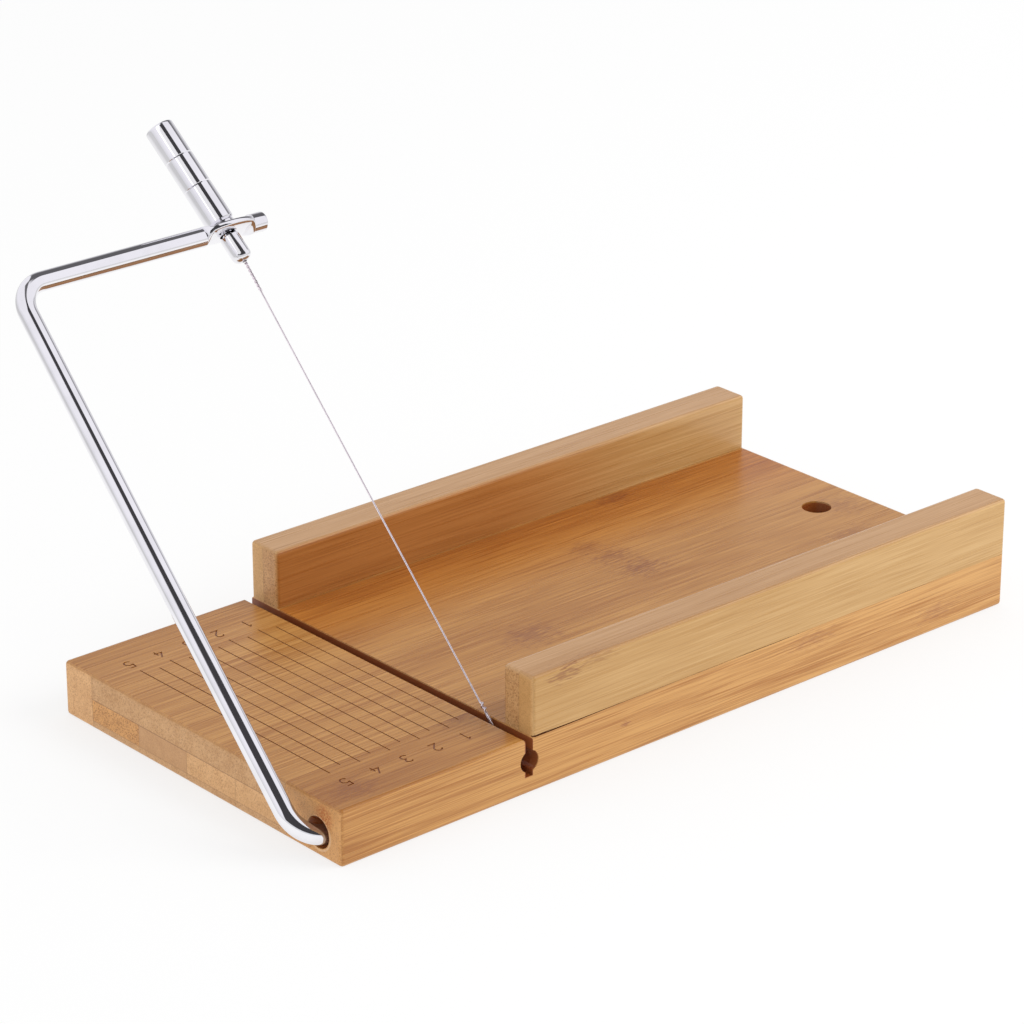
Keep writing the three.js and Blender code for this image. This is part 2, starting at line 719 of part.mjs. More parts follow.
for (const [name, side] of [['near', -1], ['far', 1]]) {
  addPiece(board, `${name}_rail_inner_lamella`, railLamella(side, true), BAMBOO_RAIL);
  addPiece(board, `${name}_rail_outer_lamella`, railLamella(side, false), BAMBOO_RAIL);
  RAIL_SCREW_STATIONS.forEach((station, i) => {
    const screw = addPiece(board, `${name}_rail_screw_${i + 1}`, woodScrew(), ZINC_STEEL);
    screw.position.set(screwX(station), railY(side), SCREW_RECESS);
  });
}

const arm = new THREE.Group();
arm.position.set(END_X, fromNear(PIVOT_FROM_SIDE), PIVOT_HEIGHT);
arm.rotation.x = THREE.MathUtils.degToRad(ARM_REST_ANGLE);
cutter.add(arm);
addPiece(arm, 'arm_rod', armRod(), POLISHED_STEEL);
addPiece(arm, 'cutting_wire', cuttingWire(), WIRE_STEEL);

const tensioner = new THREE.Group();
tensioner.position.set(EYE_X, ARM_REACH, 0);
tensioner.rotation.z = TILT;
arm.add(tensioner);
addPiece(tensioner, 'thrust_washer', washer(), POLISHED_STEEL);
addPiece(tensioner, 'handle', handle(), POLISHED_STEEL);
addPiece(tensioner, 'tension_stud', tensionStud(), POLISHED_STEEL);

export default cutter;
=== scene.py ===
"""Looks of the cheese wire cutter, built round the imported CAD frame.

The wooden pieces keep their CAD meshes and get procedural bamboo. The steel pieces are replaced by
finer ones. Lengths are in millimetres and become metres when a mesh or light is made."""

import json
import math
from typing import NamedTuple

import bpy
from mathutils import Matrix, Vector


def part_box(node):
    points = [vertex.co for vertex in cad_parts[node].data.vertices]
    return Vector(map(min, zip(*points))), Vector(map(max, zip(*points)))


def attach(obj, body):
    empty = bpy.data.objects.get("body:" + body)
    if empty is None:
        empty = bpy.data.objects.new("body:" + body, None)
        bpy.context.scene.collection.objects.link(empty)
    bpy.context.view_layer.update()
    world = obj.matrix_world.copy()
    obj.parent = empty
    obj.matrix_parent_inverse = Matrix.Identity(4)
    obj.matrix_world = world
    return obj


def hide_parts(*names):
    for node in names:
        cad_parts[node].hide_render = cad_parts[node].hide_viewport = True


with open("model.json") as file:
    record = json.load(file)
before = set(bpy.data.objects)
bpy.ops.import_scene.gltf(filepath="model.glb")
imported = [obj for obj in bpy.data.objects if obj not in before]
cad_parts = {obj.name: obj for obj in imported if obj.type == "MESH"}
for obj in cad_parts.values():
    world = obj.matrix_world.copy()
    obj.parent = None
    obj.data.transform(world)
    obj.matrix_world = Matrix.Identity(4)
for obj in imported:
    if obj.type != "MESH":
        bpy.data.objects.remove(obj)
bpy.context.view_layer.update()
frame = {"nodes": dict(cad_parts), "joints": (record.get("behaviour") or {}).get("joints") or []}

MM = 0.001
SCENE = bpy.context.scene


# ---------------------------------------------------------------- places from the frame


def box_mm(node):
    low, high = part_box(node)
    return low / MM, high / MM


joints = {joint["name"]: joint for joint in frame["joints"]}
PIVOT = Vector(joints["arm_swing"]["pos_m"]) / MM
EYE = Vector(joints["handle_turn"]["pos_m"]) / MM
LEAN = Vector(joints["handle_turn"]["axis"]).normalized()
ALONG = Vector((1, 0, 0))
REACH_AXIS = Vector((0, EYE.y - PIVOT.y, EYE.z - PIVOT.z)).normalized()
SQUARE_AXIS = ALONG.cross(REACH_AXIS)
REACH = (EYE - PIVOT).dot(REACH_AXIS)

board_low = box_mm("near_edge_strip")[0]
board_high = Vector((box_mm("near_edge_strip")[1].x, box_mm("far_edge_strip")[1].y, 0))
board_top = box_mm("bed_face_ply")[1].z
core_top = box_mm("core_strip_1")[1].z
back_top = box_mm("back_ply")[1].z
strip_edges = [box_mm(f"core_strip_{number}")[0].y for number in (1, 2, 3, 4)]
strip_edges.append(box_mm("core_strip_4")[1].y)
kerf_low = box_mm("scale_face_ply")[1].x
kerf_high = box_mm("bed_face_ply")[0].x
kerf_middle = (kerf_low + kerf_high) / 2
rail_low = box_mm("near_rail_outer_lamella")[0]
rail_high = box_mm("near_rail_outer_lamella")[1]
END_X = board_low.x


# ---------------------------------------------------------------- node helpers


def linear(red, green, blue):
    """An sRGB colour, 0 to 255, as linear RGBA."""

    def channel(value):
        value /= 255
        return value / 12.92 if value <= 0.04045 else ((value + 0.055) / 1.055) ** 2.4

    return (channel(red), channel(green), channel(blue), 1)


class Net:
    """Shorthand for building a node tree."""

    def __init__(self, tree):
        self.tree = tree
        tree.nodes.clear()

    def put(self, socket, value):
        if isinstance(value, bpy.types.NodeSocket):
            self.tree.links.new(value, socket)
        elif value is not None:
            socket.default_value = value

    def node(self, kind, inputs=None, **properties):
        made = self.tree.nodes.new("ShaderNode" + kind)
        for key, value in properties.items():
            setattr(made, key, value)
        for key, value in (inputs or {}).items():
            self.put(made.inputs[key], value)
        return made

    def math(self, operation, first, second=None, clamp=False):
        made = self.node("Math", operation=operation, use_clamp=clamp)
        for socket, value in zip(made.inputs, (first, second)):
            self.put(socket, value)
        return made.outputs[0]

    def times(self, first, *others):
        """The product of all the values."""
        for other in others:
            first = self.math("MULTIPLY", first, other)
        return first

    def absolute(self, value):
        return self.math("ABSOLUTE", value)

    def parts(self, vector):
        """A vector's X, Y and Z."""
        return self.node("SeparateXYZ", {"Vector": vector}).outputs

    def in_mirror(self):
        """1 where something is seen as a reflection."""
        return self.node("LightPath").outputs["Is Glossy Ray"]

    def vector(self, operation, first, second=None, scale=None):
        made = self.node("VectorMath", operation=operation)
        self.put(made.inputs[0], first)
        self.put(made.inputs[1], second)
        if scale is not None:
            self.put(made.inputs["Scale"], scale)
        scalar = operation in ("LENGTH", "DISTANCE", "DOT_PRODUCT")
        return made.outputs["Value" if scalar else "Vector"]

    def ramp(self, value, low, high, to_low=0.0, to_high=1.0):
        """Smooth step from 0 at low to 1 at high; low may be the greater one."""
        made = self.node("MapRange", interpolation_type="SMOOTHSTEP")
        for socket, number in zip(made.inputs, (value, low, high, to_low, to_high)):
            self.put(socket, number)
        return made.outputs[0]

    def mix(self, share, first, second, blend="MIX"):
        made = self.node("Mix", data_type="RGBA", blend_type=blend)
        self.put(made.inputs["Factor"], share)
        self.put(made.inputs["A"], first)
        self.put(made.inputs["B"], second)
        return made.outputs["Result"]

    def tint(self, colour, filter_colour):
        """The colour seen through a filter."""
        return self.mix(1.0, colour, filter_colour, "MULTIPLY")

    def noise(self, vector, detail=2.0, roughness=0.5, scale=1.0, distortion=0.0):
        made = self.node("TexNoise", {
            "Vector": vector,
            "Scale": scale,
            "Detail": detail,
            "Roughness": roughness,
            "Distortion": distortion,
        })
        return made.outputs[0]

    def window(self, value, low, high, soft):
        """1 between low and high, with soft edges."""
        rise = self.ramp(value, low - soft, low + soft)
        fall = self.ramp(value, high - soft, high + soft)
        return self.math("SUBTRACT", rise, fall, clamp=True)


def new_material(name):
    material = bpy.data.materials.new(name)
    material.use_nodes = True
    return material, Net(material.node_tree)


def place_mm(net, seed=0.0):
    """Object coordinates in millimetres, and the same moved by a seed."""
    raw = net.node("TexCoord").outputs["Object"]
    place = net.vector("SCALE", raw, scale=1 / MM)
    return place, net.vector("ADD", place, (seed * 31.7, seed * 17.3, seed * 23.9))


# ---------------------------------------------------------------- bamboo

# Streaks of the grain, as (length, width, octaves of noise)
BROAD_BAND = (150, 13, 1.0)
STREAK = (55, 1.2, 2.0)
FINE_STREAK = (26, 0.3, 2.0)
DARK_FIBRE = (30, 0.32, 1.0)
MARK_CRUMB = (3.2, 0.36, 1.0)
FIBRE_SHIFT = (7.0, 3.0, 9.0)

# How strongly each sort of streak moves the tone
BROAD_GAIN = 1.2
STREAK_GAIN = 1.5
FINE_GAIN = 3.2
FIBRE_GAIN = 0.42
PATCH_GAIN = 1.0
SPECKLE_GAIN = 2.4
CRUMB_GAIN = 4.2

GRAIN_RELIEF = 0.05
LONG_GRAIN_ROUGHNESS = 0.3
END_GRAIN_EXTRA_ROUGHNESS = 0.2
MIRRORED_SHARE = 0.45
DOT_PITCH = 0.65

MARK_BROWN = linear(126, 66, 44)
# Brown of the sawn kerf's walls, also painted inside the bores as painted shade
SAW_AND_SHADE_BROWN = linear(138, 66, 28)
BURN_BROWN = linear(124, 62, 30)
MIRRORED_BROWN = linear(112, 90, 76)
SEAM_BROWN = linear(70, 38, 22)
DOT_TINT = (0.6, 0.47, 0.36, 1)
FIBRE_TINT = (0.66, 0.53, 0.4, 1)
# Painted sheen: the pinkish cast of glancing light on the rails' tops
TOP_SHEEN_TINT = (0.92, 0.86, 1.0, 1)
SIDE_LIFT = (1.15, 1.25, 1.5, 1)
GLUE_BROWN = linear(120, 76, 40)
RIM_PALE = linear(226, 190, 150)
AMBER = linear(176, 88, 32)

KERF_FLOOR = 5.0
MOUTH_RADIUS = 4.4
SCALE_DEPTH = 0.4


class Bamboo(NamedTuple):
    """What tells one bamboo piece's look from another's. The colours of its long grain and of its
    end grain are (pale, deep), and each seed gives another grain."""

    grain: tuple
    end: tuple
    seed: int
    contrast: float = 1.0
    dots: float = 0.42
    marks: tuple = ()
    features: tuple = ()


def streaks(net, place, along, across, detail):
    """Noise drawn out along X."""
    stretched = net.vector("MULTIPLY", place, (1 / along, 1 / across, 1 / across))
    return net.noise(stretched, detail)


def centred(net, value, gain):
    """Noise from 0 to 1 turned into a swing about zero."""
    return net.times(net.math("SUBTRACT", value, 0.5), gain)


def end_facing(net, normal, low=0.7, high=0.9):
    """1 on the faces that look along the board."""
    return net.ramp(net.absolute(normal["X"]), low, high)


def bamboo_material(name, look):
    material, net = new_material(name)
    pale, deep = look.grain
    end_pale, end_deep = look.end
    place, seeded = place_mm(net, look.seed)
    axes = net.parts(place)
    normal = net.parts(net.node("NewGeometry").outputs["True Normal"])
    end_face = end_facing(net, normal, 0.6, 0.85)

    # Long grain: broad bands, streaks and fine dark fibres
    broad = streaks(net, seeded, *BROAD_BAND)
    middle = streaks(net, seeded, *STREAK)
    fine = streaks(net, seeded, *FINE_STREAK)
    hair = streaks(net, net.vector("ADD", seeded, FIBRE_SHIFT), *DARK_FIBRE)
    tone = net.math("ADD", 0.5, centred(net, broad, BROAD_GAIN * look.contrast))
    tone = net.math("ADD", tone, centred(net, middle, STREAK_GAIN * look.contrast))
    tone = net.math("ADD", tone, centred(net, fine, FINE_GAIN * look.contrast), clamp=True)
    grain = net.mix(tone, deep, pale)
    fibre = net.times(net.ramp(hair, 0.58, 0.74), FIBRE_GAIN * look.contrast)
    grain = net.mix(fibre, grain, net.tint(deep, FIBRE_TINT))

    # End grain: cut fibre bundles show as dots
    dots = net.node("TexVoronoi", {
        "Vector": net.vector("MULTIPLY", seeded, (0, 1, 1.15)),
        "Scale": 1 / DOT_PITCH,
        "Randomness": 0.8,
    })
    patch = net.noise(seeded, 2.0, scale=0.22)
    dot = net.ramp(dots.outputs["Distance"], 0.5, 0.22)
    speckle = net.noise(seeded, 3.0, 0.7, scale=2.2, distortion=0.6)
    end_tone = net.math("ADD", 0.4, centred(net, patch, PATCH_GAIN))
    end_tone = net.math("ADD", end_tone, centred(net, speckle, SPECKLE_GAIN), clamp=True)
    end = net.mix(end_tone, end_pale, end_deep)
    end = net.mix(net.times(dot, look.dots), end, net.tint(end_deep, DOT_TINT))
    colour = net.mix(end_face, grain, end)

    # Node marks: reddish clusters of short streaks
    crumbs = streaks(net, seeded, *MARK_CRUMB)
    for centre, size, strength in look.marks:
        offset = net.vector("SUBTRACT", place, centre)
        distance = net.vector("LENGTH", net.vector("DIVIDE", offset, size))
        ragged = net.math("ADD", distance, centred(net, crumbs, CRUMB_GAIN))
        share = net.times(net.ramp(ragged, 1.0, 0.1), strength)
        colour = net.mix(share, colour, MARK_BROWN)

    for feature in look.features:
        colour = feature(net, colour, axes, normal, fine)

    # Polished steel sees the wood a little greyer, as it does in the photo
    colour = net.mix(net.times(net.in_mirror(), MIRRORED_SHARE), colour, MIRRORED_BROWN)

    grain_height = net.math("ADD", net.times(fine, 0.6), net.times(hair, -0.4))
    end_height = net.times(dot, -0.5)
    height = net.node("Mix", {"Factor": end_face, "A": grain_height, "B": end_height})
    bump = net.node("Bump", {
        "Strength": 0.35,
        "Distance": GRAIN_RELIEF * MM,
        "Height": height.outputs["Result"],
    })
    roughness = net.math("ADD", LONG_GRAIN_ROUGHNESS, centred(net, middle, 0.25))
    end_roughness = net.times(end_face, END_GRAIN_EXTRA_ROUGHNESS)
    roughness = net.math("ADD", roughness, end_roughness, clamp=True)

    # Scorched and sawn places are dull, so they don't turn blue under the white lights
    lightness = net.node("RGBToBW", {"Color": colour}).outputs[0]
    surface = net.node("BsdfPrincipled", {
        "Base Color": colour,
        "Roughness": roughness,
        "IOR": 1.5,
        "Specular IOR Level": net.ramp(lightness, 0.03, 0.12, 0.0, 0.5),
        "Normal": bump.outputs[0],
    })
    net.node("OutputMaterial", {"Surface": surface.outputs[0]})
    return material


def burnt_scale(net, colour, axes, normal, fine):
    """The floors of the shallow scale marks are scorched."""
    depth = net.window(axes["Z"], board_top - SCALE_DEPTH, board_top - 0.05, 0.02)
    beside = net.window(axes["X"], END_X + 3, kerf_low - 2, 0.1)
    across = net.window(axes["Y"], board_low.y + 3, board_high.y - 3, 0.1)
    scorch = net.math("ADD", 0.85, centred(net, fine, 0.6), clamp=True)
    return net.mix(net.times(depth, beside, across, scorch), colour, BURN_BROWN)


def sawn_kerf(net, colour, axes, normal, fine):
    """The kerf's walls and floor are darkened by the saw."""
    inside = net.window(axes["X"], kerf_low - 0.25, kerf_high + 0.1, 0.08)
    below = net.window(axes["Z"], KERF_FLOOR - 0.06, board_top - 0.45, 0.05)
    return net.mix(net.times(inside, below, 0.9), colour, SAW_AND_SHADE_BROWN)


def bore_painted_shade(centre, axis, reach, radius):
    """Painted shade: a bore is painted darker inside, where shade falls in the hole."""

    def feature(net, colour, axes, normal, fine):
        others = [name for name in "XYZ" if name != axis]
        place = dict(zip("XYZ", centre))
        squares = [net.math("POWER", net.math("SUBTRACT", axes[name], place[name]), 2)
                   for name in others]
        distance = net.math("SQRT", net.math("ADD", *squares))
        inside = net.math("LESS_THAN", distance, radius + 0.12)
        deep = net.window(axes[axis], *reach, 0.1)
        return net.mix(net.times(inside, deep, 0.85), colour, SAW_AND_SHADE_BROWN)

    return feature


def pale_rim_mouth(net, colour, axes, normal, fine):
    """A pale rim round the pivot bore's mouth, and amber fibres above it."""
    end_face = end_facing(net, normal)
    across = net.math("SUBTRACT", axes["Y"], PIVOT.y + 0.7)
    up = net.math("SUBTRACT", axes["Z"], PIVOT.z + 0.6)
    place = net.node("CombineXYZ", {"Y": across, "Z": up}).outputs[0]
    distance = net.vector("LENGTH", place)
    rim = net.window(distance, MOUTH_RADIUS, MOUTH_RADIUS + 0.5, 0.2)
    colour = net.mix(net.times(rim, end_face, 0.55), colour, RIM_PALE)
    amber_distance = net.vector("DISTANCE", place, (0, -2.2, 5.2))
    crumbs = net.ramp(net.noise(place, 2.0, 0.6, scale=1.8), 0.44, 0.56)
    amber = net.times(net.ramp(amber_distance, 4.6, 1.6), crumbs, end_face, 0.9)
    return net.mix(amber, colour, AMBER)


def glue_lines(lines):
    """Thin dark joints on the end faces; each line is (axis, place, low, high, share)."""

    def feature(net, colour, axes, normal, fine):
        end_face = end_facing(net, normal)
        for axis, place, low, high, strength in lines:
            other = "Z" if axis == "Y" else "Y"
            distance = net.absolute(net.math("SUBTRACT", axes[axis], place))
            near = net.ramp(distance, 0.22, 0.05)
            run = net.window(axes[other], low, high, 0.1)
            colour = net.mix(net.times(near, run, end_face, strength), colour, GLUE_BROWN)
        return colour

    return feature


def inward_only(tinting):
    """Limits a feature to faces that look towards -Y."""

    def feature(net, colour, axes, normal, fine):
        facing = net.ramp(normal["Y"], -0.5, -0.9)
        return net.mix(facing, colour, tinting(net, colour, axes, normal, fine))

    return feature


def top_painted_sheen(net, colour, axes, normal, fine):
    """Painted sheen: the rails' tops are tinted pinker than their sides, for the pale pinkish cast
    that glancing light gives them.
    """
    facing = net.ramp(normal["Z"], 0.5, 0.9)
    return net.mix(facing, colour, net.tint(colour, TOP_SHEEN_TINT))


def painted_shade_band(axis, low, high, tint):
    """Painted shade: the colour is multiplied by tint at low and left alone at high."""

    def feature(net, colour, axes, normal, fine):
        share = net.ramp(axes[axis], high, low)
        return net.mix(share, colour, net.tint(colour, tint))

    return feature


def rail_seam(net, colour, axes, normal, fine):
    """A thin open glue line under the near rail, widest at its kerf end."""
    from_end = net.ramp(axes["X"], rail_low.x + 34, rail_low.x + 8)
    half_width = net.math("ADD", 0.01, net.times(from_end, 0.2))
    half_width = net.math("ADD", half_width, centred(net, fine, 0.7))
    distance = net.absolute(net.math("SUBTRACT", axes["Z"], board_top))
    line = net.math("LESS_THAN", distance, half_width)
    under_rail = net.math("GREATER_THAN", axes["X"], rail_low.x - 0.1)
    sideways = net.ramp(net.absolute(normal["Y"]), 0.3, 0.5)
    return net.mix(net.times(line, under_rail, sideways), colour, SEAM_BROWN)


def pale_side(net, colour, axes, normal, fine):
    """The side face of an edge strip is lighter than its top."""
    facing = net.ramp(net.absolute(normal["Y"]), 0.5, 0.9)
    return net.mix(facing, colour, net.tint(colour, SIDE_LIFT))


FACE = (linear(198, 144, 78), linear(164, 106, 47))
RAIL = (linear(207, 168, 113), linear(187, 144, 86))
PLY_END = (linear(212, 166, 116), linear(178, 128, 76))
STRIP_END = (linear(241, 195, 143), linear(205, 154, 104))
NEAR_STRIP_END = (linear(232, 178, 116), linear(200, 144, 84))
CORE_END = (linear(224, 175, 121), linear(192, 141, 86))
CORE_SMOOTH = (linear(202, 154, 105), linear(181, 132, 85))
CORE_DARK = (linear(224, 165, 98), linear(166, 110, 54))
RAIL_DOTTED = (linear(217, 172, 118), linear(173, 121, 71))
RAIL_PLAIN = (linear(222, 177, 120), linear(197, 151, 93))

# Node marks, as (centre, half sizes, strength)
bed_marks = (
    ((-16.4, -11.4, 16), (9, 7, 6), 0.55),
    ((35, 22.8, 16), (7, 5, 6), 0.4),
    ((37, 13.4, 16), (8, 5, 6), 0.5),
    ((37.5, 2, 16), (8, 6, 6), 0.6),
    ((65.9, 44.9, 16), (8, 5, 6), 0.55),
    ((112.4, -3.1, 16), (8, 7, 6), 0.4),
    ((99, -21, 16), (9, 6, 6), 0.35),
)
near_strip_marks = (
    ((-66, -37.5, 16), (7, 5, 4), 0.45),
    ((-112, -51.3, 16), (8, 5, 4), 0.45),
    ((44.2, -59.5, 12.5), (9, 4, 2.5), 0.3),
    ((94.7, -59.5, 6), (8, 4, 3), 0.3),
    ((-25.2, -59.5, 9.4), (1.6, 2, 0.7), 0.6),
)
near_rail_marks = (
    ((-46.5, -59.5, 30.8), (6, 4, 2.2), 0.5),
    ((-38, -59.5, 32), (9, 4, 1.6), 0.3),
)

ACCESS_HOLE_Z = 9.35
ACCESS_HOLE_DEPTH = 11
ACCESS_HOLE_RADIUS = 3.15
PIVOT_BORE_DEPTH = 82
PIVOT_BORE_RADIUS = 5.6
HANGING_HOLE_INSET = 16.4
HANGING_HOLE_RADIUS = 4.4

# Painted shade inside the access hole, the pivot bore and the hanging hole
access_hole = bore_painted_shade((kerf_middle + 0.15, 0, ACCESS_HOLE_Z), "Y",
                           (board_low.y + 0.3, board_low.y + ACCESS_HOLE_DEPTH),
                           ACCESS_HOLE_RADIUS)
pivot_bore = bore_painted_shade((0, PIVOT.y, PIVOT.z), "X",
                          (END_X + 0.35, END_X + PIVOT_BORE_DEPTH), PIVOT_BORE_RADIUS)
hanging_hole = bore_painted_shade((-END_X - HANGING_HOLE_INSET, 0, 0), "Z",
                            (-1, board_top - 0.5), HANGING_HOLE_RADIUS)

FAINT_GLUE = 0.3
PLAIN_GLUE = 0.55
RAIL_TOP = 40
strip_joints = [("Y", y, 0, board_top if y in (strip_edges[0], strip_edges[-1]) else core_top,
                 FAINT_GLUE) for y in strip_edges]
ply_joints = [("Z", core_top, strip_edges[0], strip_edges[-1], PLAIN_GLUE),
              ("Z", back_top, strip_edges[0], strip_edges[-1], FAINT_GLUE)]
end_joints = glue_lines(strip_joints + ply_joints)
rail_joint = glue_lines([("Y", side * rail_high.y, board_top, RAIL_TOP, FAINT_GLUE)
                         for side in (-1, 1)])
# Painted shade: the left end is darkened and warmed, away from the light that falls from the
# right.
left_painted_shade = painted_shade_band("X", -120, 110, (0.88, 0.82, 0.72, 1))
# Painted shade: the bed turns amber towards the far rail, where the rail blocks its sheen and
# throws warm light back.
far_bed_painted_shade = painted_shade_band("Y", 44, 2, (0.96, 0.74, 0.46, 1))
# Painted shade: the far rail's inner face is darkened and reddened towards its left end, away from
# the light.
far_rail_painted_shade = painted_shade_band("X", 20, 100, (0.8, 0.54, 0.35, 1))
far_rail_left_painted_shade = painted_shade_band("X", -60, 60, (0.86, 0.78, 0.68, 1))

strip_features = (pale_side, left_painted_shade, burnt_scale, sawn_kerf, end_joints)
core_features = (sawn_kerf, hanging_hole, end_joints)

LOOKS = {
    "near_edge_strip": Bamboo(
        FACE, NEAR_STRIP_END, 1, marks=near_strip_marks,
        features=strip_features + (rail_seam, pale_rim_mouth, access_hole, pivot_bore)),
    "far_edge_strip": Bamboo(FACE, STRIP_END, 2, features=strip_features),
    "scale_face_ply": Bamboo(FACE, PLY_END, 3, features=(burnt_scale, sawn_kerf, end_joints)),
    "bed_face_ply": Bamboo(
        FACE, PLY_END, 4, marks=bed_marks,
        features=(far_bed_painted_shade, sawn_kerf, hanging_hole, end_joints)),
    "back_ply": Bamboo(FACE, PLY_END, 5, features=(hanging_hole, end_joints)),
    "core_strip_1": Bamboo(FACE, CORE_END, 6, features=core_features),
    "core_strip_2": Bamboo(FACE, CORE_END, 7, features=core_features),
    "core_strip_3": Bamboo(FACE, CORE_SMOOTH, 8, dots=0.15, features=core_features),
    "core_strip_4": Bamboo(FACE, CORE_DARK, 9, dots=0.6, features=core_features),
    "near_rail_inner_lamella": Bamboo(
        RAIL, RAIL_DOTTED, 10, 0.8, dots=0.55, features=(top_painted_sheen, rail_joint)),
    "near_rail_outer_lamella": Bamboo(
        RAIL, RAIL_PLAIN, 11, 0.9, dots=0.25, marks=near_rail_marks,
        features=(left_painted_shade, top_painted_sheen, rail_seam, rail_joint)),
    "far_rail_inner_lamella": Bamboo(
        RAIL, RAIL_DOTTED, 12, 0.9, dots=0.55,
        features=(inward_only(far_rail_painted_shade), inward_only(far_rail_left_painted_shade), top_painted_sheen,
                  rail_joint)),
    "far_rail_outer_lamella": Bamboo(
        RAIL, RAIL_PLAIN, 13, 0.8, dots=0.3, features=(top_painted_sheen, rail_joint)),
}


SHARP = math.radians(32)


def set_material(piece, material):
    piece.data.materials.clear()
    piece.data.materials.append(material)


def shade(piece):
    """Smooth rounds, crisp edges."""
    for polygon in piece.data.polygons:
        polygon.use_smooth = True
    piece.data.set_sharp_from_angle(angle=SHARP)


wood = bpy.data.collections.new("wood")
for node_name, look in LOOKS.items():
    board_piece = frame["nodes"][node_name]
    set_material(board_piece, bamboo_material("bamboo_" + node_name, look))
    shade(board_piece)
    wood.objects.link(board_piece)


# ---------------------------------------------------------------- metals


SMUDGE_SHADE = 0.93


def steel_material(name, seed, tint, roughness, scratch_axis, scratch_depth, stretch=24.0,
                   spread=0.5):
    """Polished steel with faint drawn lines. scratch_axis is the lines' own direction as a unit
    vector; stretch and spread are their length along it and their width across it."""
    material, net = new_material(name)
    place, seeded = place_mm(net, seed)
    along = net.vector("DOT_PRODUCT", place, tuple(scratch_axis))
    run = net.vector("SCALE", tuple(scratch_axis), scale=along)
    across = net.vector("SUBTRACT", place, run)
    lines = net.vector("ADD",
                       net.vector("SCALE", run, scale=1 / stretch),
                       net.vector("SCALE", across, scale=1 / spread))
    scratches = net.noise(lines, 4.0, 0.6)
    smudge = net.noise(seeded, 3.0, 0.55, scale=0.12)
    rough = net.math("ADD", roughness, centred(net, smudge, roughness * 0.9))
    rough = net.math("ADD", rough, centred(net, scratches, roughness * 0.7), clamp=True)
    smudged = tuple(channel * SMUDGE_SHADE for channel in tint[:3]) + (1,)
    colour = net.mix(net.ramp(smudge, 0.35, 0.75), tint, smudged)
    bump = net.node("Bump", {
        "Strength": 0.5,
        "Distance": scratch_depth * MM,
        "Height": scratches,
    })
    surface = net.node("BsdfPrincipled", {
        "Base Color": colour,
        "Metallic": 1.0,
        "Roughness": rough,
        "Normal": bump.outputs[0],
    })
    net.node("OutputMaterial", {"Surface": surface.outputs[0]})
    return material


BRIGHT = linear(244, 243, 247)
WIRE_TINT = linear(250, 240, 246)
ZINC_TINT = linear(206, 202, 190)

rod_steel = steel_material("polished_rod_steel", 18, BRIGHT, 0.055, REACH_AXIS, 0.004)
turned_steel = steel_material("turned_grip_steel", 17, BRIGHT, 0.06, LEAN, 0.003)
stud_steel = steel_material("polished_stud_steel", 19, BRIGHT, 0.08, LEAN, 0.004)
wire_steel = steel_material("drawn_wire_steel", 16, WIRE_TINT, 0.2, REACH_AXIS, 0.003, 40.0, 0.2)
zinc_steel = steel_material("zinc_screw_steel", 16, ZINC_TINT, 0.3, (0, 0, 1), 0.01, 3.0, 0.6)


# ---------------------------------------------------------------- mesh helpers


def make_piece(name, points, faces, material):
    """A smooth-shaded mesh object from points in millimetres."""
    mesh = bpy.data.meshes.new(name)
    mesh.from_pydata([tuple(Vector(point) * MM) for point in points], [], faces)
    mesh.validate()
    mesh.update()
    piece = bpy.data.objects.new(name, mesh)
    SCENE.collection.objects.link(piece)
    shade(piece)
    set_material(piece, material)
    return piece


def bake(piece):
    """Applies a piece's modifiers to its mesh."""
    bpy.context.view_layer.update()
    evaluated = piece.evaluated_get(bpy.context.evaluated_depsgraph_get())
    mesh = bpy.data.meshes.new_from_object(evaluated)
    piece.modifiers.clear()
    old = piece.data
    piece.data = mesh
    bpy.data.meshes.remove(old)
    shade(piece)


def carve(piece, *cutters):
    """Takes the cutters' shapes out of the piece."""
    for cutter in cutters:
        boolean = piece.modifiers.new("carve", "BOOLEAN")
        boolean.operation = "DIFFERENCE"
        boolean.solver = "EXACT"
        boolean.object = cutter
        bake(piece)
        bpy.data.objects.remove(cutter)


def axes_matrix(origin, axis):
    """A frame at origin whose Z is the given axis."""
    turn = Vector((0, 0, 1)).rotation_difference(Vector(axis)).to_matrix().to_4x4()
    return Matrix.Translation(origin) @ turn


def rings_to_mesh(rings, looped=False):
    """Points and faces of a skin over rings of equally many points. The first and last rings are
    capped, or joined where the skin is looped."""
    count = len(rings[0])
    points = [point for ring in rings for point in ring]
    faces = []
    last = len(rings) if looped else len(rings) - 1
    for i in range(last):
        here = i * count
        ahead = ((i + 1) % len(rings)) * count
        for k in range(count):
            n = (k + 1) % count
            faces.append((here + k, here + n, ahead + n, ahead + k))
    if not looped:
        faces.append(tuple(reversed(range(count))))
        faces.append(tuple(range((len(rings) - 1) * count, len(rings) * count)))
    return points, faces


def turned(name, profile, matrix, material, sides=96, looped=False):
    """A lathe piece. The profile runs from one end to the other as (radius, height); a looped
    profile closes on itself and makes a ring."""
    rings = []
    for radius, height in profile:
        ring = []
        for k in range(sides):
            angle = 2 * math.pi * k / sides
            across, up = radius * math.cos(angle), radius * math.sin(angle)
            ring.append(matrix @ Vector((across, up, height)))
        rings.append(ring)
    points, faces = rings_to_mesh(rings, looped=looped)
    return make_piece(name, points, faces, material)


def stand_in(piece, node, body):
    """The piece takes the place of a CAD node and rides on its body."""
    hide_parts(node)
    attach(piece, body)


